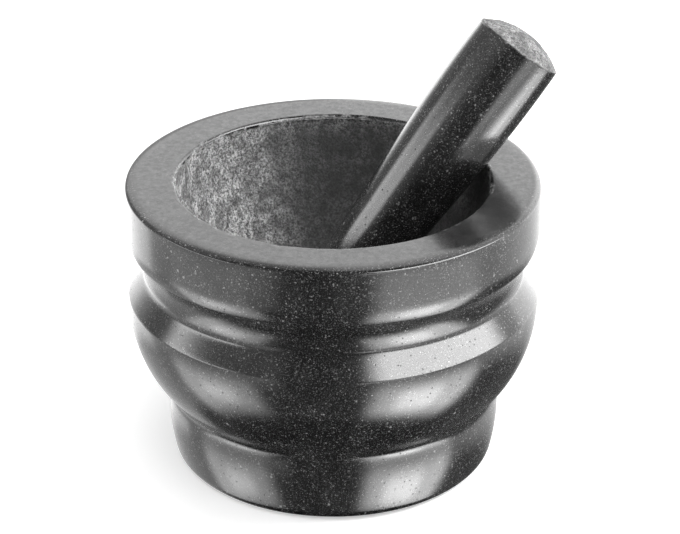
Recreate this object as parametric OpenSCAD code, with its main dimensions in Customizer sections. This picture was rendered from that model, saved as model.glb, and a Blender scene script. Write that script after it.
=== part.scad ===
// Mortar and pestle turned from dark granite.
// The mortar stands on its foot at the origin, and the pestle leans in the bowl.
// Millimetres, +Z up, origin at the middle of the resting face.

/* [Mortar] */
// Widest diameter, at the rim band and again at the belly
mortar_d = 180; // [172:1:190]
// Height from the resting face to the flat rim
mortar_h = 130; // [122:1:140]
// Diameter of the foot at its widest, just below the neck
foot_d = 147; // [138:1:150]
// Radius that eases the lower edge of the foot
foot_edge = 6; // [2:0.5:10]
// How far the hollow waist is cut in from the widest line
waist_inset = 7; // [5:0.5:8]
// Width of the rim's rounded outer edge
rim_edge = 6.5; // [3:0.5:8]
// Height that the rim's rounded edge falls over its width
rim_drop = 1.5; // [1:0.25:3]
// Radius of the lip under the rim band
lip_edge = 1.6; // [1:0.2:2.4]

/* [Bowl] */
// Diameter of the mouth
mouth_d = 136; // [124:1:140]
// Depth of the bowl below the rim
bowl_depth = 88; // [80:1:92]
// Radius of the mouth's edge
mouth_edge = 1.5; // [0.5:0.5:3]

/* [Pestle] */
// Length over both domed ends
pestle_l = 175.5; // [150:0.5:175.5]
// Diameter of the thick end, at its widest
head_d = 40.5; // [36:0.5:42]
// Diameter of the slender end
tail_d = 31; // [26:0.5:32]
// Height of the dome on the thick end
head_dome = 6.4; // [3:0.2:9]
// Height of the dome on the slender end
tail_dome = 5; // [3:0.2:8]

/* [Pose] */
// Lean of the pestle from upright, in degrees
lean = 37.5; // [36:0.5:39]
// Direction in which the pestle leans, in degrees from +X towards +Y
lean_towards = 16; // [0:1:359]
// Distance from the edge of the thick end down to where the pestle leans on the mouth
overhang = 51.5; // [51.5:0.5:60]
// Gap kept between the pestle and the mouth's edge
clearance = 0.4; // [0.3:0.1:0.8]

/* [Hidden] */
$fn = 120;

mortar_r = mortar_d / 2;
foot_r = foot_d / 2;
mouth_r = mouth_d / 2;
head_r = head_d / 2;
tail_r = tail_d / 2;

// The turned forms keep their shape when the height changes, so their sizes are shares of it
foot_z = 0.188 * mortar_h;
foot_round = 0.69 * mortar_h;
belly_z = 0.578 * mortar_h;
belly_round = 0.4615 * mortar_h;
ledge_z = 0.608 * mortar_h;
ledge_inset = 0.6;
waist_z = 0.677 * mortar_h;
band_z = 0.852 * mortar_h;
band_round = 0.16 * mortar_h;
band_turn = 18;

// Centres of the circles that turn the foot, the belly and the band, as [radius, height]
foot_c = [foot_r - foot_round, foot_z];
belly_c = [mortar_r - belly_round, belly_z];
band_c = [mortar_r - band_round, band_z];
lip_c = band_c + (band_round - lip_edge) * [cos(band_turn), -sin(band_turn)];

// The foot's lower edge rolls under and meets the foot's side without a corner
foot_turn = asin((foot_z - foot_edge) / (foot_round - foot_edge));
sole_c = [foot_c.x + (foot_round - foot_edge) * cos(foot_turn), foot_edge];

// The waist is a hollow that starts at the bottom of the lip
lip_low = lip_c - [0, lip_edge];
waist_r = mortar_r - waist_inset;
waist_reach = lip_low.x - waist_r;
waist_drop = lip_low.y - waist_z;
waist_round = (waist_reach * waist_reach + waist_drop * waist_drop) / (2 * waist_reach);
waist_c = [waist_r + waist_round, waist_z];

// The pestle is widest a little below its head, and slender from the waist down
head_swell = 20;
waist = 140;
head_edge_inset = 0.35;

// Direction from a centre to a point, in degrees
function bearing(c, p) = atan2(p.y - c.y, p.x - c.x);

// Points along an arc about c from angle a to angle b
function arc(c, r, a, b, steps) =
    [for (i = [0 : steps]) c + r * [cos(a + (b - a) * i / steps), sin(a + (b - a) * i / steps)]];

// Outer crossing of two circles, where one turned form meets the next in a crease
function crease(c1, r1, c2, r2) =
    let (
        d = norm(c2 - c1),
        u = (c2 - c1) / d,
        along = (d * d + r1 * r1 - r2 * r2) / (2 * d),
        side = sqrt(r1 * r1 - along * along)
    )
    c1 + along * u + side * [abs(u.y), -u.x * sign(u.y)];

// Radius of the pestle at a distance t below the edge of its thick end
function club_r(t) =
    t < head_swell ? head_r - head_edge_inset * pow(1 - t / head_swell, 2) :
    t < waist ? tail_r + (head_r - tail_r) * (1 + cos(180 * (t - head_swell) / (waist - head_swell))) / 2 :
    tail_r;

// Radius of the sphere whose cap stands h high on a circle of radius r
function cap_r(r, h) = (r * r + h * h) / (2 * h);

// Outline of the mortar's outside, from the middle of its resting face up to the rim
function outside() =
    let (
        neck = crease(foot_c, foot_round, belly_c, belly_round),
        ledge_turn = 3,
        crown_steps = 9
    )
    concat(
        [[0, 0]],
        arc(sole_c, foot_edge, -90, -foot_turn, 8),
        arc(foot_c, foot_round, 1 - foot_turn, bearing(foot_c, neck), 6),
        arc(belly_c, belly_round, bearing(belly_c, neck) + 3, ledge_turn, 14),
        [[mortar_r - ledge_inset, ledge_z]],
        arc(waist_c, waist_round, 180, bearing(waist_c, lip_low), 10),
        arc(lip_c, lip_edge, -75, -band_turn, 6),
        arc(band_c, band_round, 3 - band_turn, 0, 6),
        [for (i = [0 : crown_steps])
            let (a = 90 * i / crown_steps)
            [mortar_r - rim_edge * (1 - cos(a)), mortar_h - rim_drop * (1 - sin(a))]]
    );

// Outline of the bowl, from its mouth down to the middle of its floor
function inside() =
    let (
        start = asin(mouth_edge / bowl_depth),
        steps = 30
    )
    concat(
        arc([mouth_r + mouth_edge, mortar_h - mouth_edge], mouth_edge, 90, 180, 5),
        [for (i = [1 : steps])
            let (a = start + (90 - start) * i / steps)
            [i == steps ? 0 : mouth_r * cos(a), mortar_h - bowl_depth * sin(a)]]
    );

// Half outline of the pestle, standing on its slender end
function club() =
    let (
        body = pestle_l - head_dome,
        head_cap = cap_r(club_r(0), head_dome),
        tail_cap = cap_r(tail_r, tail_dome),
        head_turn = asin(club_r(0) / head_cap),
        tail_turn = asin(tail_r / tail_cap),
        steps = 32
    )
    concat(
        [[0, 0]],
        arc([0, tail_cap], tail_cap, tail_turn / 8 - 90, tail_turn - 90, 7),
        [for (i = [1 : steps])
            let (z = tail_dome + (body - tail_dome) * i / steps)
            [club_r(body - z), z]],
        arc([0, pestle_l - head_cap], head_cap, 90 - head_turn * 7 / 8, 90 - head_turn / 8, 6),
        [[0, pestle_l]]
    );

// Heavy bowl on a plain foot, turned with a belly, a hollow waist and a deep rim band
module mortar() {
    color([0.17, 0.17, 0.18])
        rotate_extrude()
            polygon(concat(outside(), inside()));
}

// Stands the pestle's own axis through the place where it leans on the mouth
module lean_on_mouth() {
    reach = club_r(overhang) + mouth_edge + clearance;
    edge = [mouth_r + mouth_edge, mortar_h - mouth_edge];
    through = edge + reach * [-cos(lean), sin(lean)];
    rotate([0, 0, lean_towards])
        translate([through.x, 0, through.y])
            rotate([0, lean, 0])
                translate([0, 0, overhang + head_dome - pestle_l])
                    children();
}

// Round tapered pestle with a domed rough end at the top and another in the bowl
module pestle() {
    color([0.22, 0.22, 0.23])
        lean_on_mouth()
            rotate_extrude()
                polygon(club());
}

mortar();
pestle();
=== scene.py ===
"""The looks of a turned granite mortar and its pestle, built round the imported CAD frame.

The mortar stands on its foot at the origin of the row frame, +Z up, and -Y is its front.
Lengths are in metres.
"""

import logging
import math
from dataclasses import dataclass, field
from enum import Enum

import bpy
import numpy as np
from mathutils import Matrix, Vector


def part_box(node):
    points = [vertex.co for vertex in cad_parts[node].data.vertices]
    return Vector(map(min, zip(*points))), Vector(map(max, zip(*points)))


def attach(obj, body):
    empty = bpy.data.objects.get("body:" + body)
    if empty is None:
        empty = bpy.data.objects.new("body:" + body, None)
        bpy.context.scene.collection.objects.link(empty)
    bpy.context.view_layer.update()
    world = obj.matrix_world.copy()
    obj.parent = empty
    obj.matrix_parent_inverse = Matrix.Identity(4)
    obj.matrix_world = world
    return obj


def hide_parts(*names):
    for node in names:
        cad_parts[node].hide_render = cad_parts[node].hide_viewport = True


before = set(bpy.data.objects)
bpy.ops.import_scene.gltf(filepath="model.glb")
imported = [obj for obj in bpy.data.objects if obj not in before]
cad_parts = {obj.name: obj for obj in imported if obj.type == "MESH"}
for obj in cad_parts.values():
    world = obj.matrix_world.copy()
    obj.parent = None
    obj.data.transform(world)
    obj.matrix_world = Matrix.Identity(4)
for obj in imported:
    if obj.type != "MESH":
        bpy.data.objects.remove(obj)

LOG = logging.getLogger("mortar")
MM = 0.001


class Zone(Enum):
    """How a patch of stone was worked, and where painted shade darkens it. Each name is a point attribute
    that runs from 0 to 1.
    """

    HONED = "honed"
    PECKED = "pecked"
    # Flattens the pecked relief, and is also painted shade: it darkens the bowl's stone, more with depth,
    # everywhere but on the left wall that faces the key light.
    WORN_AND_SHADE = "worn_and_shade"


# ---------------------------------------------------------------------------------------------------------
# Shader expressions
# ---------------------------------------------------------------------------------------------------------


@dataclass(frozen=True)
class Link:
    """One output socket of a node, with the arithmetic that Python writes as Math nodes."""

    graph: "Graph"
    socket: bpy.types.NodeSocket

    def _math(self, operation: str, *operands: "Link | float") -> "Link":
        """Adds a Math node over the operands.

        Args:
            operation: The Math node's operation.
            *operands: The values of its sockets, in order.

        Returns:
            The node's result.
        """
        return self.graph.node("ShaderNodeMath", {"operation": operation}, dict(enumerate(operands)))

    def __add__(self, other: "Link | float") -> "Link":
        """This plus other."""
        return self._math("ADD", self, other)

    def __radd__(self, other: float) -> "Link":
        """A number plus this."""
        return self._math("ADD", other, self)

    def __sub__(self, other: "Link | float") -> "Link":
        """This less other."""
        return self._math("SUBTRACT", self, other)

    def __rsub__(self, other: float) -> "Link":
        """A number less this."""
        return self._math("SUBTRACT", other, self)

    def __mul__(self, other: "Link | float") -> "Link":
        """This times other."""
        return self._math("MULTIPLY", self, other)

    def __rmul__(self, other: float) -> "Link":
        """A number times this."""
        return self._math("MULTIPLY", other, self)

    def rise(self, low: float, high: float) -> "Link":
        """A smooth step over this value.

        Args:
            low: Where the step leaves 0.
            high: Where it reaches 1. It may be the lower number, for a step down.

        Returns:
            0 to 1, eased at both ends.
        """
        if low > high:
            return 1.0 - self.rise(high, low)
        return self.graph.node(
            "ShaderNodeMapRange",
            {"interpolation_type": "SMOOTHSTEP"},
            {"Value": self, "From Min": low, "From Max": high},
        )

    def within(self, low: float, high: float, ease: float) -> "Link":
        """A soft-edged window over this value.

        Args:
            low: The window's lower edge.
            high: Its upper edge.
            ease: How wide each edge is.

        Returns:
            1 inside the window and 0 outside it.
        """
        half = ease / 2
        return self.rise(low - half, low + half) * self.rise(high + half, high - half)


@dataclass(frozen=True)
class Graph:
    """A node tree, and the few ways in which this file adds nodes to it."""

    tree: bpy.types.NodeTree

    def node(
        self,
        kind: str,
        settings: dict[str, object] | None = None,
        sockets: dict[str | int, object] | None = None,
        output: str | int = 0,
    ) -> Link:
        """Adds one node.

        Args:
            kind: The node's type name.
            settings: Properties that are set first.
            sockets: Input sockets by name or number, each a Link or a plain value.
            output: The output socket that is returned.

        Returns:
            The chosen output.
        """
        made = self.tree.nodes.new(kind)
        for name, value in (settings or {}).items():
            setattr(made, name, value)
        for name, value in (sockets or {}).items():
            if isinstance(value, Link):
                self.tree.links.new(value.socket, made.inputs[name])
            else:
                made.inputs[name].default_value = value
        return Link(self, made.outputs[output]) if made.outputs else Link(self, None)

    def blend(self, share: "Link | float", low: object, high: object) -> Link:
        """Mixes two colours.

        Args:
            share: How much of high there is.
            low: A colour or a link.
            high: A colour or a link.

        Returns:
            The mixed colour.
        """
        low, high = (c if isinstance(c, Link) else (*c, 1.0) for c in (low, high))
        return self.node(
            "ShaderNodeMix",
            {"data_type": "RGBA", "blend_type": "MIX"},
            {0: share, 6: low, 7: high},
            output=2,
        )

    def noise(self, place: Link, scale: float, detail: float, roughness: float = 0.5) -> Link:
        """Fractal noise.

        Args:
            place: Where it is read.
            scale: Its lumps in each unit of place.
            detail: How many finer layers there are.
            roughness: How strong the finer layers are.

        Returns:
            The noise, about 0.5.
        """
        sockets = {"Vector": place, "Scale": scale, "Detail": detail, "Roughness": roughness}
        return self.node("ShaderNodeTexNoise", {}, sockets)

    def crystals(self, place: Link, scale: float) -> tuple[Link, Link]:
        """Cells round scattered points.

        Args:
            place: Where they are read.
            scale: How many there are in each unit of place.

        Returns:
            The distance to the nearest point, and that point's own random colour.
        """
        sockets = {"Vector": place, "Scale": scale}
        colour = self.node("ShaderNodeTexVoronoi", {"feature": "F1"}, sockets, output="Color")
        return Link(self, colour.socket.node.outputs["Distance"]), colour

    def grey(self, level: "Link") -> Link:
        """A neutral colour of the given level."""
        return self.node("ShaderNodeCombineColor", {}, {0: level, 1: level, 2: level})


# ---------------------------------------------------------------------------------------------------------
# Finishes
# ---------------------------------------------------------------------------------------------------------


@dataclass(frozen=True)
class Granite:
    """Dark fine-grained granite: polished, honed or pecked, by the attributes of the mesh.

    Each of the crystal sizes is a width in millimetres, the share of places without one, and its strength.
    """

    name: str
    ground: float = 0.005
    grain: float = 0.025
    fleck: float = 0.22
    honed_level: float = 0.016
    pecked_dark: float = 0.03
    pecked_light: float = 0.62
    polish: float = 0.13
    crystal_sizes: tuple[tuple[float, float, float], ...] = (
        (0.36, 0.56, 0.45),
        (0.52, 0.8, 0.7),
        (0.8, 0.94, 1.0),
        (1.3, 0.985, 1.0),
    )

    def material(self) -> bpy.types.Material:
        """Makes the stone.

        Returns:
            A procedural material that reads the mesh's Zone attributes.
        """
        made = bpy.data.materials.new(self.name)
        made.use_nodes = True
        made.node_tree.nodes.clear()
        g = Graph(made.node_tree)
        place = g.node(
            "ShaderNodeVectorMath",
            {"operation": "SCALE"},
            {0: g.node("ShaderNodeTexCoord", output="Object"), "Scale": 1 / MM},
        )
        zones = {
            z: g.node("ShaderNodeAttribute", {"attribute_name": z.value}, output="Fac") for z in Zone
        }
        cloud = g.noise(place, 0.09, 3.0)
        grain = g.noise(place, 1.1, 4.0, 0.7)
        flecks = self._flecks(g, place, cloud)
        polished = self._polished_colour(g, cloud, grain, flecks)
        honed = self._honed_colour(g, place, flecks)
        pecked, relief = self._pecked(g, place, grain, cloud)
        colour = g.blend(zones[Zone.HONED], polished, honed)
        colour = g.blend(zones[Zone.PECKED], colour, pecked)
        # Painted shade: darkens the bowl's pecked stone, more with depth, everywhere but on the left wall
        # that faces the key light.
        colour = g.blend(zones[Zone.WORN_AND_SHADE] * (0.74 + 0.3 * cloud), colour, (0.032, 0.032, 0.032))
        pits = self._pits(g, place)
        rough = self.polish + grain * 0.06 + pits * 0.3
        scuff = g.noise(place, 0.9, 5.0, 0.7)
        rough = rough + zones[Zone.HONED] * (0.12 * scuff.rise(0.4, 0.75) - 0.02)
        rough = g.node(
            "ShaderNodeMix",
            {"data_type": "FLOAT"},
            {0: zones[Zone.PECKED], 2: rough, 3: 0.78},
        )
        blotch = g.noise(place, 0.45, 7.0, 0.85)
        coat = zones[Zone.HONED] * blotch.rise(0.36, 0.66) * 0.55
        height = relief * zones[Zone.PECKED] - pits * 0.08 + self._turning(g, place) * 0.004
        bump = g.node(
            "ShaderNodeBump",
            {},
            {"Height": height, "Distance": 1.0 * MM, "Strength": 1.0},
        )
        shader = g.node(
            "ShaderNodeBsdfPrincipled",
            {},
            {
                "Base Color": colour,
                "Roughness": rough,
                "Normal": bump,
                "IOR": 1.52,
                "Coat Weight": coat,
                "Coat Roughness": 0.12,
            },
        )
        g.node("ShaderNodeOutputMaterial", {}, {"Surface": shader})
        return made

    def _flecks(self, g: Graph, place: Link, cloud: Link) -> Link:
        """Pale crystals in the stone: many fine ones and a few larger.

        Args:
            g: The material's graph.
            place: Position on the stone in millimetres.
            cloud: Slow variation, which crowds the crystals.

        Returns:
            0 for the ground, up to 1 in the brightest crystal.
        """
        sway = g.node("ShaderNodeTexNoise", {}, {"Vector": place, "Scale": 1.6, "Detail": 2.0}, output=1)
        bent = g.node(
            "ShaderNodeVectorMath",
            {"operation": "MULTIPLY_ADD"},
            {0: sway, 1: (0.9, 0.9, 0.9), 2: place},
        )
        total = None
        for size, share, strength in self.crystal_sizes:
            reach, own = g.crystals(bent, 1 / size)
            pick = g.node("ShaderNodeSeparateColor", {}, {0: own})
            shine = Link(g, pick.socket.node.outputs[1])
            chosen = (pick + cloud * 0.25 - 0.125).rise(share, share + 0.03)
            spot = chosen * reach.rise(0.62, 0.3) * (shine * 0.9 + 0.1) * strength
            total = spot if total is None else total + spot
        return total

    def _polished_colour(self, g: Graph, cloud: Link, grain: Link, flecks: Link) -> Link:
        """The polished stone's colour.

        Args:
            g: The material's graph.
            cloud: Slow variation.
            grain: Fine variation.
            flecks: The pale crystals.

        Returns:
            Near-black ground with its grain and crystals.
        """
        level = self.ground + (grain.rise(0.45, 0.85) * self.grain + cloud.rise(0.4, 0.8) * 0.008)
        return g.blend(flecks.rise(0.0, 1.0), g.grey(level), (self.fleck, self.fleck, self.fleck))

    def _honed_colour(self, g: Graph, place: Link, flecks: Link) -> Link:
        """The flat rim's colour, a little greyer because fine scratches scatter the light.

        Args:
            g: The material's graph.
            place: Position in millimetres.
            flecks: The pale crystals.

        Returns:
            The colour.
        """
        smear = g.noise(place, 0.22, 6.0, 0.65)
        dust = g.noise(place, 1.7, 3.0, 0.8)
        share = smear.rise(0.3, 0.7) * 0.9 + dust.rise(0.3, 0.72) * 1.1
        level = self.honed_level * share * (1.0 - 0.8 * self._pits(g, place)) + flecks * 0.02
        return g.grey(level)

    def _pecked(self, g: Graph, place: Link, grain: Link, cloud: Link) -> tuple[Link, Link]:
        """Stone broken by the pick: crushed pale grains with dark hollows between them.

        Args:
            g: The material's graph.
            place: Position in millimetres.
            grain: Fine variation.
            cloud: Slow variation.

        Returns:
            The colour, and the relief in millimetres.
        """
        patches = g.noise(place, 0.13, 3.0, 0.6)
        chips, _ = g.crystals(place, 0.8)
        crumbs = g.noise(place, 0.55, 6.0, 0.75)
        light = crumbs.rise(0.36, 0.68) * 0.6 + grain.rise(0.4, 0.7) * 0.4
        light = light * (0.35 + 1.3 * patches.rise(0.3, 0.7)) * (0.7 + 0.6 * cloud)
        colour = g.blend(light, (self.pecked_dark,) * 3, (self.pecked_light,) * 3)
        relief = crumbs * 0.5 + chips * 0.25 + grain * 0.15
        return colour, relief

    @staticmethod
    def _pits(g: Graph, place: Link) -> Link:
        """Small pits that the polish didn't take out.

        Args:
            g: The material's graph.
            place: Position in millimetres.

        Returns:
            1 in a pit, 0 elsewhere.
        """
        reach, own = g.crystals(place, 0.75)
        pick = g.node("ShaderNodeSeparateColor", {}, {0: own}, output=2)
        return pick.rise(0.86, 0.9) * reach.rise(0.3, 0.14)

    @staticmethod
    def _turning(g: Graph, place: Link) -> Link:
        """Faint rings left by the lathe, by height alone."""
        split = g.node("ShaderNodeSeparateXYZ", {}, {0: place}, output=2)
        return g.node("ShaderNodeTexNoise", {"noise_dimensions": "1D"}, {"W": split * 1.2, "Detail": 2.0})


@dataclass(frozen=True)
class FloorPaint:
    """Pale matt floor with a little light of its own, stronger far from the mortar."""

    level: float = 0.85

    def material(self) -> bpy.types.Material:
        """Makes the floor's material.

        Returns:
            A near-white matt material with a trace of unevenness.
        """
        made = bpy.data.materials.new("pale_floor")
        made.use_nodes = True
        made.node_tree.nodes.clear()
        g = Graph(made.node_tree)
        place = g.node("ShaderNodeTexCoord", output="Object")
        mottle = g.node("ShaderNodeTexNoise", {}, {"Vector": place, "Scale": 2.0, "Detail": 2.0})
        level = self.level + 0.02 * mottle
        away = g.node("ShaderNodeVectorMath", {"operation": "LENGTH"}, {0: place}, output=1)
        glow = level * (0.45 + 0.75 * away.rise(0.25, 1.2))
        shader = g.node(
            "ShaderNodeBsdfPrincipled",
            {},
            {
                "Base Color": g.grey(level),
                "Roughness": 0.9,
                "Emission Color": g.grey(glow),
                "Emission Strength": 1.0,
            },
        )
        g.node("ShaderNodeOutputMaterial", {}, {"Surface": shader})
        return made


# ---------------------------------------------------------------------------------------------------------
# Shapes
# ---------------------------------------------------------------------------------------------------------


@dataclass(frozen=True)
class Lumps:
    """Smooth repeatable noise in space, for relief that is cut into the meshes."""

    seed: int
    layer_shift: float = 0.37

    def at(self, points: np.ndarray, size: float) -> np.ndarray:
        """Noise at each point.

        Args:
            points: Points in metres, one to a row.
            size: How far apart the lumps are, in metres.

        Returns:
            One value a point, from 0 to 1.
        """
        table = np.random.default_rng(self.seed).random((32, 32, 32))
        cell = np.floor(points / size).astype(int)
        part = points / size - cell
        ease = part * part * (3 - 2 * part)
        total = np.zeros(len(points))
        for corner in range(8):
            step = np.array([corner >> 2 & 1, corner >> 1 & 1, corner & 1])
            weight = np.prod(np.where(step == 1, ease, 1 - ease), axis=1)
            x, y, z = ((cell + step) % 32).T
            total += weight * table[x, y, z]
        return total

    def rough(self, points: np.ndarray, sizes: tuple[float, ...], shares: tuple[float, ...]) -> np.ndarray:
        """Several sizes of lump together.

        Args:
            points: Points in metres.
            sizes: The size of each layer.
            shares: How much each layer counts.

        Returns:
            One value a point, from 0 to the shares' sum.
        """
        layers = enumerate(zip(sizes, shares))
        return sum(share * self.at(points + self.layer_shift * n, size) for n, (size, share) in layers)


def arc(
    centre: tuple[float, float], radius: float, start: float, end: float, steps: int
) -> list[tuple[float, float]]:
    """Points along a circle.

    Args:
        centre: Radius and height of the circle's centre.
        radius: The circle's own radius.
        start: First bearing in degrees, from the outward direction.
        end: Last bearing in degrees.
        steps: How many steps there are.

    Returns:
        The points, both ends among them.
    """
    turns = [math.radians(start + (end - start) * i / steps) for i in range(steps + 1)]
    return [(centre[0] + radius * math.cos(t), centre[1] + radius * math.sin(t)) for t in turns]


def bearing(centre: tuple[float, float], point: tuple[float, float]) -> float:
    """Direction from a centre to a point, in degrees from the outward direction."""
    return math.degrees(math.atan2(point[1] - centre[1], point[0] - centre[0]))


def crossing(
    low: tuple[float, float], low_radius: float, high: tuple[float, float], high_radius: float
) -> tuple[float, float]:
    """The outer crossing of two circles, where one turned form meets the next.

    Args:
        low: Centre of the lower circle.
        low_radius: Its radius.
        high: Centre of the upper circle.
        high_radius: Its radius.

    Returns:
        Radius and height of the crossing.
    """
    apart = math.dist(low, high)
    across, up = (high[0] - low[0]) / apart, (high[1] - low[1]) / apart
    along = (apart * apart + low_radius**2 - high_radius**2) / (2 * apart)
    side = math.sqrt(low_radius**2 - along * along)
    return low[0] + along * across + side * up, low[1] + along * up - side * across


def spaced(line: np.ndarray, step: float, turn: float) -> np.ndarray:
    """Spreads points along a line, closer together where it bends.

    Args:
        line: Radius and height of each point, closely spaced.
        step: Longest distance between points, in metres.
        turn: Largest bend between points, in degrees.

    Returns:
        The new points.
    """
    legs = np.diff(line, axis=0)
    lengths = np.hypot(legs[:, 0], legs[:, 1])
    real = lengths > 1e-9
    line, legs, lengths = np.vstack([line[:1], line[1:][real]]), legs[real], lengths[real]
    heading = np.unwrap(np.arctan2(legs[:, 1], legs[:, 0]))
    bend = np.abs(np.diff(heading, prepend=heading[0]))
    measure = np.concatenate([[0], np.cumsum(lengths / step + bend / math.radians(turn))])
    count = int(math.ceil(measure[-1]))
    wanted = np.linspace(0, measure[-1], count + 1)
    return np.column_stack([np.interp(wanted, measure, line[:, k]) for k in (0, 1)])


def revolve(name: str, line: np.ndarray, sides: int) -> tuple[bpy.types.Object, np.ndarray]:
    """Turns an outline round the z axis. The outline's first and last points lie on the axis.

    Args:
        name: The new object's name.
        line: Radius and height of each point, from the bottom round to the top.
        sides: How many points each ring has.

    Returns:
        The object, and for each of its points the number of its place on the outline.
    """
    rings = line[1:-1]
    turns = np.linspace(0, 2 * math.pi, sides, endpoint=False)
    x, y = np.outer(rings[:, 0], np.cos(turns)), np.outer(rings[:, 0], np.sin(turns))
    body = np.stack([x, y, np.outer(rings[:, 1], np.ones(sides))], axis=2).reshape(-1, 3)
    points = np.vstack([[0, 0, line[0, 1]], body, [0, 0, line[-1, 1]]])
    index = 1 + np.arange(len(rings) * sides).reshape(len(rings), sides)
    beside = np.roll(index, -1, axis=1)
    quads = np.stack([index[:-1], beside[:-1], beside[1:], index[1:]], axis=2).reshape(-1, 4)
    last = len(points) - 1
    fans = [(0, int(b), int(a)) for a, b in zip(index[0], beside[0])]
    fans += [(last, int(a), int(b)) for a, b in zip(index[-1], beside[-1])]
    mesh = bpy.data.meshes.new(name)
    mesh.from_pydata(points.tolist(), [], quads.tolist() + fans)
    mesh.shade_smooth()
    mesh.update()
    made = bpy.data.objects.new(name, mesh)
    bpy.context.scene.collection.objects.link(made)
    places = np.concatenate([[0], np.repeat(np.arange(1, len(line) - 1), sides), [len(line) - 1]])
    return made, places


def read_points(made: bpy.types.Object) -> np.ndarray:
    """The object's points, one to a row."""
    flat = np.zeros(len(made.data.vertices) * 3)
    made.data.vertices.foreach_get("co", flat)
    return flat.reshape(-1, 3)


def read_normals(made: bpy.types.Object) -> np.ndarray:
    """The object's point normals, one to a row."""
    flat = np.zeros(len(made.data.vertices) * 3)
    made.data.vertices.foreach_get("normal", flat)
    return flat.reshape(-1, 3)


def write_points(made: bpy.types.Object, points: np.ndarray) -> None:
    """Moves the object's points to those given."""
    made.data.vertices.foreach_set("co", points.ravel())
    made.data.update()


def mark(made: bpy.types.Object, zone: Zone, values: np.ndarray) -> None:
    """Stores how far each point belongs to a zone.

    Args:
        made: The object.
        zone: The zone.
        values: One value a point, from 0 to 1.
    """
    layer = made.data.attributes.new(zone.value, "FLOAT", "POINT")
    layer.data.foreach_set("value", np.clip(values, 0, 1).astype(np.float32))


def ease(values: np.ndarray, low: float, high: float) -> np.ndarray:
    """A smooth step from 0 at low to 1 at high.

    Args:
        values: What is stepped over.
        low: Where the step begins.
        high: Where it ends.

    Returns:
        0 to 1 for each value.
    """
    part = np.clip((values - low) / (high - low), 0, 1)
    return part * part * (3 - 2 * part)


# ---------------------------------------------------------------------------------------------------------
# The mortar
# ---------------------------------------------------------------------------------------------------------


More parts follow.
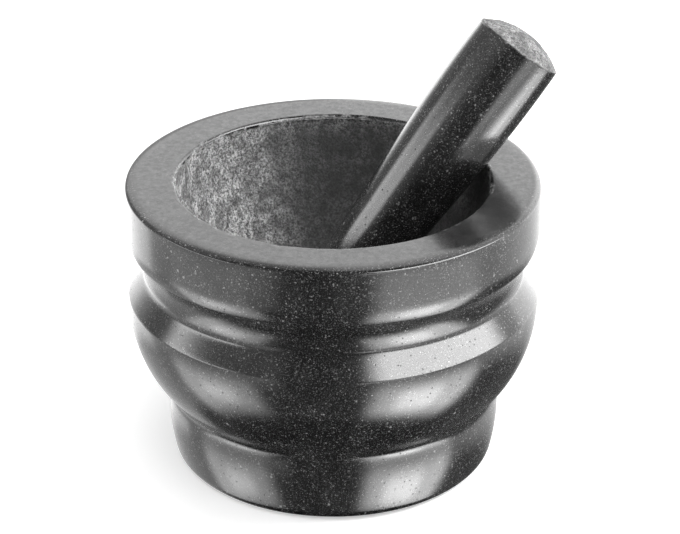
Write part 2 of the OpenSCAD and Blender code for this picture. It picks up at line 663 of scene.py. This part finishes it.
@dataclass
class Mortar:
    """The bowl with its foot, belly, hollow waist and rim band, all one turned stone.

    The fields that end in _at and _curve are heights and radii of its turned forms, as shares of the height.
    """

    radius: float
    height: float
    foot_at: float = 0.188
    foot_curve: float = 0.69
    belly_at: float = 0.578
    belly_curve: float = 0.4615
    ledge_at: float = 0.608
    waist_at: float = 0.677
    band_at: float = 0.852
    band_curve: float = 0.16
    foot_radius: float = 73.5 * MM
    foot_edge: float = 6 * MM
    waist_inset: float = 7 * MM
    ledge_inset: float = 0.6 * MM
    rim_edge: float = 6.5 * MM
    rim_drop: float = 1.5 * MM
    lip_edge: float = 1.6 * MM
    band_turn: float = 18.0
    ledge_turn: float = 3.0
    mouth_radius: float = 68 * MM
    mouth_edge: float = 1.5 * MM
    bowl_depth: float = 88 * MM
    sides: int = 384
    crown_rings: int = 12
    stone: Granite = field(default_factory=lambda: Granite("mortar_granite"))

    def turned_line(self) -> tuple[np.ndarray, list[tuple[float, float, float]]]:
        """The outside as the chisel would leave it, with sharp creases.

        Returns:
            Radius and height of each point from the foot's lower edge up to the flat rim. With it come the
            creases, each as the radius and height of its corner and how far the polish has eased it.
        """
        tall = self.height
        foot_round, belly_round = self.foot_curve * tall, self.belly_curve * tall
        band_round = self.band_curve * tall
        foot_c = (self.foot_radius - foot_round, self.foot_at * tall)
        belly_c = (self.radius - belly_round, self.belly_at * tall)
        band_c = (self.radius - band_round, self.band_at * tall)
        turn = math.radians(self.band_turn)
        lip_reach = band_round - self.lip_edge
        lip_c = (band_c[0] + lip_reach * math.cos(turn), band_c[1] - lip_reach * math.sin(turn))
        foot_turn = math.asin((foot_c[1] - self.foot_edge) / (foot_round - self.foot_edge))
        sole_c = (foot_c[0] + (foot_round - self.foot_edge) * math.cos(foot_turn), self.foot_edge)
        neck = crossing(foot_c, foot_round, belly_c, belly_round)
        waist_z, waist_r = self.waist_at * tall, self.radius - self.waist_inset
        reach, drop = lip_c[0] - waist_r, lip_c[1] - self.lip_edge - waist_z
        waist_round = (reach * reach + drop * drop) / (2 * reach)
        waist_c = (waist_r + waist_round, waist_z)
        lip_low = (lip_c[0], lip_c[1] - self.lip_edge)
        ledge = (self.radius - self.ledge_inset, self.ledge_at * tall)
        line = arc(sole_c, self.foot_edge, -90, -math.degrees(foot_turn), 60)
        line += arc(foot_c, foot_round, -math.degrees(foot_turn), bearing(foot_c, neck), 200)
        line += arc(belly_c, belly_round, bearing(belly_c, neck), self.ledge_turn, 400)
        line += [ledge]
        line += arc(waist_c, waist_round, 180, bearing(waist_c, lip_low), 150)
        line += arc(lip_c, self.lip_edge, -90, -self.band_turn, 40)
        line += arc(band_c, band_round, -self.band_turn, 0, 60)
        crown = [math.radians(90 * k / 60) for k in range(61)]
        line += [
            (self.radius - self.rim_edge * (1 - math.cos(t)), tall - self.rim_drop * (1 - math.sin(t)))
            for t in crown
        ]
        creases = [
            (*neck, 2.2 * MM),
            (*ledge, 0.28 * MM),
            (waist_r, waist_z, 1.0 * MM),
            (*lip_low, 0.3 * MM),
            (self.radius, tall - self.rim_drop, 0.35 * MM),
        ]
        return np.array(line), creases

    def outer_line(self) -> np.ndarray:
        """The outside with every crease eased by the polish.

        Returns:
            Radius and height of each point, from low to high.
        """
        line, creases = self.turned_line()
        step = 0.05 * MM
        along = np.concatenate([[0], np.cumsum(np.hypot(*np.diff(line, axis=0).T))])
        wanted = np.linspace(0, along[-1], int(along[-1] / step))
        even = np.column_stack([np.interp(wanted, along, line[:, k]) for k in (0, 1)])
        eased = even.copy()
        for radius, height, width in creases:
            reach = int(4 * width / step)
            weights = np.exp(-0.5 * (np.arange(-reach, reach + 1) * step / width) ** 2)
            padded = np.pad(even, ((reach, reach), (0, 0)), mode="edge")
            weights = weights / weights.sum()
            soft = np.column_stack([np.convolve(padded[:, k], weights, "valid") for k in (0, 1)])
            off = np.hypot(even[:, 0] - radius, even[:, 1] - height) / (6 * width)
            share = (np.clip(1.5 - off, 0, 1))[:, None]
            eased = eased + (soft - even) * share
        eased[:, 0] = np.minimum(eased[:, 0], self.radius)
        return eased

    def outline(self) -> tuple[np.ndarray, int, int]:
        """The whole outline, from the middle of the resting face round to the middle of the bowl.

        Returns:
            The points, the place where the flat rim begins, and the place where the bowl begins.
        """
        side = self.outer_line()
        low = [(side[0, 0] * k / 40, 0.0) for k in range(40)]
        outside = spaced(np.vstack([low, side]), 2.4 * MM, 5.0)
        outside[-1, 1] = self.height
        flat_end = self.mouth_radius + self.mouth_edge
        across = np.linspace(self.radius - self.rim_edge, flat_end, 16)[1:]
        flat = np.column_stack([across, np.full(len(across), self.height)])
        edge = arc((flat_end, self.height - self.mouth_edge), self.mouth_edge, 90, 180, 24)
        start = math.asin(self.mouth_edge / self.bowl_depth)
        turns = np.linspace(start, math.pi / 2, 4000)
        bowl = np.column_stack(
            [self.mouth_radius * np.cos(turns), self.height - self.bowl_depth * np.sin(turns)]
        )
        inside = spaced(np.vstack([edge[1:], bowl]), 1.05 * MM, 12.0)
        inside[-1, 0] = 0.0
        line = np.vstack([outside, flat, inside])
        return line, len(outside) - 1, len(outside) + len(flat) - 1

    def build(self) -> bpy.types.Object:
        """Makes the mortar's mesh, cuts the pecked relief into its bowl, and dresses it.

        Returns:
            The finished piece.
        """
        line, rim_start, bowl_start = self.outline()
        made, places = revolve("mortar_stone", line, self.sides)
        points, normals = read_points(made), read_normals(made)
        lumps = Lumps(11)
        radial = np.hypot(points[:, 0], points[:, 1])
        depth = np.where(places >= bowl_start, self.height - points[:, 2], 0.0)
        waver = lumps.rough(points, (11 * MM, 4 * MM, 1.8 * MM), (0.45, 0.3, 0.25)) - 0.5
        # Share of painted shade, and of smoother worn stone: 0 on the bowl's left wall that faces the key
        # light, rising towards its middle and right side and with depth.
        worn_and_shade = ease(points[:, 0] / np.maximum(radial, MM), -0.82, -0.1) * ease(depth, -6 * MM, 12 * MM)
        pecked = np.where(places >= bowl_start, ease(depth - waver * 5 * MM, 0.2 * MM, 2.0 * MM), 0.0)
        relief = lumps.rough(points, (6.5 * MM, 3.2 * MM, 2.1 * MM), (0.25, 0.4, 0.35))
        cut = pecked * relief * (0.95 - 0.5 * worn_and_shade) * MM
        write_points(made, points - normals * cut[:, None])
        flat = (places >= rim_start - self.crown_rings) & (places <= bowl_start + 1)
        honed = np.where(flat, ease(self.radius - radial, 2.0 * MM, 5.5 * MM), 0.0)
        mark(made, Zone.HONED, honed)
        mark(made, Zone.PECKED, pecked)
        mark(made, Zone.WORN_AND_SHADE, worn_and_shade * pecked)
        made.data.materials.append(self.stone.material())
        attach(made, "mortar")
        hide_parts("mortar")
        return made


# ---------------------------------------------------------------------------------------------------------
# The pestle
# ---------------------------------------------------------------------------------------------------------


@dataclass
class Pestle:
    """The tapered club that leans on the mouth of the mortar, its thick end up."""

    mortar: Mortar
    length: float = 175.5 * MM
    head_radius: float = 20.25 * MM
    tail_radius: float = 15.5 * MM
    head_dome: float = 6.4 * MM
    tail_dome: float = 5.0 * MM
    head_swell: float = 20 * MM
    waist: float = 140 * MM
    head_inset: float = 0.35 * MM
    lean: float = 37.5
    lean_towards: float = 16.0
    overhang: float = 51.5 * MM
    gap: float = 0.4 * MM
    sides: int = 224
    stone: Granite = field(default_factory=lambda: Granite("pestle_granite", pecked_light=0.3, polish=0.16))

    def barrel_radius(self, down: np.ndarray) -> np.ndarray:
        """The barrel's radius.

        Args:
            down: Distances below the edge of the thick end.

        Returns:
            The radius at each.
        """
        swell = self.head_radius - self.head_inset * (1 - down / self.head_swell) ** 2
        share = (1 + np.cos(np.pi * (down - self.head_swell) / (self.waist - self.head_swell))) / 2
        taper = self.tail_radius + (self.head_radius - self.tail_radius) * share
        return np.where(down < self.head_swell, swell, np.where(down < self.waist, taper, self.tail_radius))

    def outline(self) -> np.ndarray:
        """The half outline, standing on the slender end.

        Returns:
            Radius and height of each point, from the bottom up.
        """
        edge = float(self.barrel_radius(np.array(0.0)))
        body = self.length - self.head_dome
        up = np.linspace(self.tail_dome, body, 900)
        barrel = np.column_stack([self.barrel_radius(body - up), up])
        low_ball = (self.tail_radius**2 + self.tail_dome**2) / (2 * self.tail_dome)
        low_turn = math.degrees(math.asin(self.tail_radius / low_ball))
        low = arc((0.0, low_ball), low_ball, -90, low_turn - 90, 60)
        top_ball = (edge**2 + self.head_dome**2) / (2 * self.head_dome)
        top_turn = math.degrees(math.asin(edge / top_ball))
        top = arc((0.0, self.length - top_ball), top_ball, 90 - top_turn, 90, 60)
        line = spaced(np.vstack([low, barrel, top]), 0.9 * MM, 9.0)
        line[0, 0] = line[-1, 0] = 0.0
        return line

    def pose(self) -> Matrix:
        """Where the pestle rests: across the mouth's edge, its slender end in the bowl.

        Returns:
            The matrix from the pestle's own axes to the row frame.
        """
        lean = math.radians(self.lean)
        reach = float(self.barrel_radius(np.array(self.overhang))) + self.mortar.mouth_edge + self.gap
        out = self.mortar.mouth_radius + self.mortar.mouth_edge - reach * math.cos(lean)
        up = self.mortar.height - self.mortar.mouth_edge + reach * math.sin(lean)
        return (
            Matrix.Rotation(math.radians(self.lean_towards), 4, "Z")
            @ Matrix.Translation((out, 0.0, up))
            @ Matrix.Rotation(lean, 4, "Y")
            @ Matrix.Translation((0.0, 0.0, self.overhang + self.head_dome - self.length))
        )

    def build(self) -> bpy.types.Object:
        """Makes the pestle's mesh, roughens its two ends, and leans it on the mortar.

        Returns:
            The finished piece.
        """
        made, _ = revolve("pestle_stone", self.outline(), self.sides)
        points, normals = read_points(made), read_normals(made)
        lumps = Lumps(23)
        waver = lumps.rough(points, (7 * MM, 2.6 * MM), (0.6, 0.4)) - 0.5
        above = points[:, 2] - (self.length - self.head_dome)
        below = self.tail_dome - points[:, 2]
        pecked = np.maximum(
            ease(above - waver * 2.2 * MM, -0.7 * MM, 0.5 * MM),
            ease(below - waver * 2.5 * MM, -0.8 * MM, 0.8 * MM),
        )
        relief = lumps.rough(points, (4.5 * MM, 2.4 * MM, 1.8 * MM), (0.3, 0.4, 0.3))
        write_points(made, points - normals * (pecked * relief * 0.8 * MM)[:, None])
        mark(made, Zone.HONED, np.zeros(len(points)))
        mark(made, Zone.PECKED, pecked)
        mark(made, Zone.WORN_AND_SHADE, np.zeros(len(points)))
        made.data.materials.append(self.stone.material())
        made.data.transform(self.pose())
        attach(made, "pestle")
        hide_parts("pestle")
        return made


# ---------------------------------------------------------------------------------------------------------
# The studio
# ---------------------------------------------------------------------------------------------------------


@dataclass(frozen=True)
class Glow:
    """A soft-edged bright patch of the studio, by direction. Bearings run from the front (-Y) towards +X."""

    bearing: tuple[float, float]
    rise: tuple[float, float]
    level: float
    ease: float = 8.0

    def light(self, bearing: Link, rise: Link) -> Link:
        """The patch's light in a direction.

        Args:
            bearing: The direction's bearing in degrees.
            rise: Its angle above the horizon in degrees.

        Returns:
            The patch's level inside it, easing to 0 at its edges.
        """
        return bearing.within(*self.bearing, self.ease) * rise.within(*self.rise, self.ease) * self.level


@dataclass(frozen=True)
class Lamp:
    """A softbox that lights the stone's matt parts and the floor."""

    name: str
    bearing: float
    rise: float
    distance: float
    size: float
    watts: float

    def build(self, target: Vector) -> bpy.types.Object:
        """Places the softbox and turns it to the target.

        Args:
            target: The point that it faces.

        Returns:
            The light object.
        """
        data = bpy.data.lights.new(self.name, "AREA")
        data.shape = "SQUARE"
        data.size = self.size
        data.energy = self.watts
        made = bpy.data.objects.new(self.name, data)
        b, r = math.radians(self.bearing), math.radians(self.rise)
        away = Vector((math.sin(b) * math.cos(r), -math.cos(b) * math.cos(r), math.sin(r)))
        made.location = target + away * self.distance
        made.rotation_euler = away.to_track_quat("Z", "Y").to_euler()
        made.visible_camera = False
        made.visible_glossy = False
        bpy.context.scene.collection.objects.link(made)
        return made


@dataclass
class Studio:
    """Pale floor, soft light, and the bright and dark surroundings that polished stone mirrors."""

    target: Vector
    floor_radius: float = 7.0
    backdrop: float = 1.0
    glows: tuple[Glow, ...] = (
        Glow((25, 104), (12, 54), 15.0, 16.0),
        Glow((24, 90), (-56, -28), 7.5, 16.0),
        Glow((36, 72), (-54, -32), 15.0, 18.0),
        Glow((-102, -54), (12, 24), 9.0, 12.0),
        Glow((-104, -46), (-54, -28), 4.0, 16.0),
        Glow((-90, -58), (-50, -33), 7.5, 18.0),
        Glow((14, 52), (-22, -7), 4.2),
        Glow((118, 168), (-18, 32), 4.2, 12.0),
        Glow((-168, -118), (-30, 2), 3.2, 12.0),
        Glow((156, 204), (14, 40), 1.9, 12.0),
        Glow((-204, -156), (14, 40), 1.9, 12.0),
        Glow((24, 186), (-30, 60), 2.0, 16.0),
        Glow((-186, -30), (-30, 8), 1.6, 16.0),
        Glow((-186, -30), (8, 60), 0.7, 16.0),
        Glow((-186, -104), (-52, -22), 0.9),
        Glow((-200, 200), (-60, 70), 0.15, 16.0),
    )
    lamps: tuple[Lamp, ...] = (
        Lamp("key_softbox", 98, 38, 1.6, 0.8, 34.0),
        Lamp("fill_softbox", -70, 45, 1.8, 1.2, 10.0),
        Lamp("top_softbox", 180, 75, 1.6, 1.6, 16.0),
        Lamp("front_softbox", 0, 60, 2.2, 1.8, 26.0),
    )
    paint: FloorPaint = field(default_factory=FloorPaint)

    def surroundings(self) -> None:
        """Fills the world: an even pale backdrop to the eye, bright patches to polished stone."""
        world = bpy.data.worlds.new("studio")
        bpy.context.scene.world = world
        world.use_nodes = True
        world.node_tree.nodes.clear()
        world.cycles_visibility.diffuse = False
        world.cycles.sampling_method = "NONE"
        g = Graph(world.node_tree)
        way = g.node("ShaderNodeTexCoord", output="Generated")
        split = g.node("ShaderNodeSeparateXYZ", {}, {0: way})
        x, y, z = (Link(g, split.socket.node.outputs[k]) for k in range(3))
        to_degrees = 180 / math.pi
        bearing = g.node("ShaderNodeMath", {"operation": "ARCTAN2"}, {0: x, 1: y * -1.0}) * to_degrees
        rise = g.node("ShaderNodeMath", {"operation": "ARCSINE"}, {0: z}) * to_degrees
        total = None
        for glow in self.glows:
            part = glow.light(bearing, rise)
            both = {0: total, 1: part}
            total = part if total is None else g.node("ShaderNodeMath", {"operation": "MAXIMUM"}, both)
        mirrored = g.node("ShaderNodeBackground", {}, {"Color": g.grey(total)})
        plain = g.node("ShaderNodeBackground", {}, {"Color": (self.backdrop,) * 3 + (1.0,)})
        seen = g.node("ShaderNodeLightPath", output="Is Camera Ray")
        shown = g.node("ShaderNodeMixShader", {}, {0: seen, 1: mirrored, 2: plain})
        g.node("ShaderNodeOutputWorld", {}, {"Surface": shown})

    def floor(self) -> bpy.types.Object:
        """Lays a round pale floor under the mortar.

        Returns:
            The floor, which polished stone doesn't mirror.
        """
        turns = np.linspace(0, 2 * math.pi, 96, endpoint=False)
        rim = [(self.floor_radius * math.cos(t), self.floor_radius * math.sin(t), 0.0) for t in turns]
        mesh = bpy.data.meshes.new("floor")
        mesh.from_pydata(rim, [], [tuple(range(len(rim)))])
        made = bpy.data.objects.new("floor", mesh)
        bpy.context.scene.collection.objects.link(made)
        mesh.materials.append(self.paint.material())
        made.visible_glossy = False
        return made

    def build(self) -> None:
        """Sets up the floor, the lamps and the surroundings."""
        self.surroundings()
        self.floor()
        for lamp in self.lamps:
            lamp.build(self.target)
        bpy.context.scene.view_settings.view_transform = "Standard"


@dataclass
class Eye:
    """The camera, looking slightly down at the rim from the front."""

    target: Vector
    distance: float = 1.2
    rise: float = 26.657
    lens: float = 144.6

    def build(self) -> bpy.types.Object:
        """Places the camera.

        Returns:
            The scene's camera.
        """
        data = bpy.data.cameras.new("eye")
        data.lens = self.lens
        data.sensor_width = 36.0
        made = bpy.data.objects.new("eye", data)
        r = math.radians(self.rise)
        away = Vector((0.0, -math.cos(r), math.sin(r)))
        made.location = self.target + away * self.distance
        made.rotation_euler = away.to_track_quat("Z", "Y").to_euler()
        bpy.context.scene.collection.objects.link(made)
        bpy.context.scene.camera = made
        return made


def main() -> None:
    """Builds the stone pieces and the studio in order."""
    logging.basicConfig(level=logging.INFO, format="%(message)s")
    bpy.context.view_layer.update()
    low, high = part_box("mortar")
    mortar = Mortar(radius=(high.x - low.x) / 2, height=high.z - low.z)
    for piece in (mortar, Pestle(mortar)):
        made = piece.build()
        LOG.info("built %s with %d faces", made.name, len(made.data.polygons))
    Studio(target=Vector((0.0, 0.0, mortar.height * 0.6))).build()
    Eye(target=Vector((3 * MM, 0.0, mortar.height * 0.6687))).build()


if __name__ == "__main__":
    main()
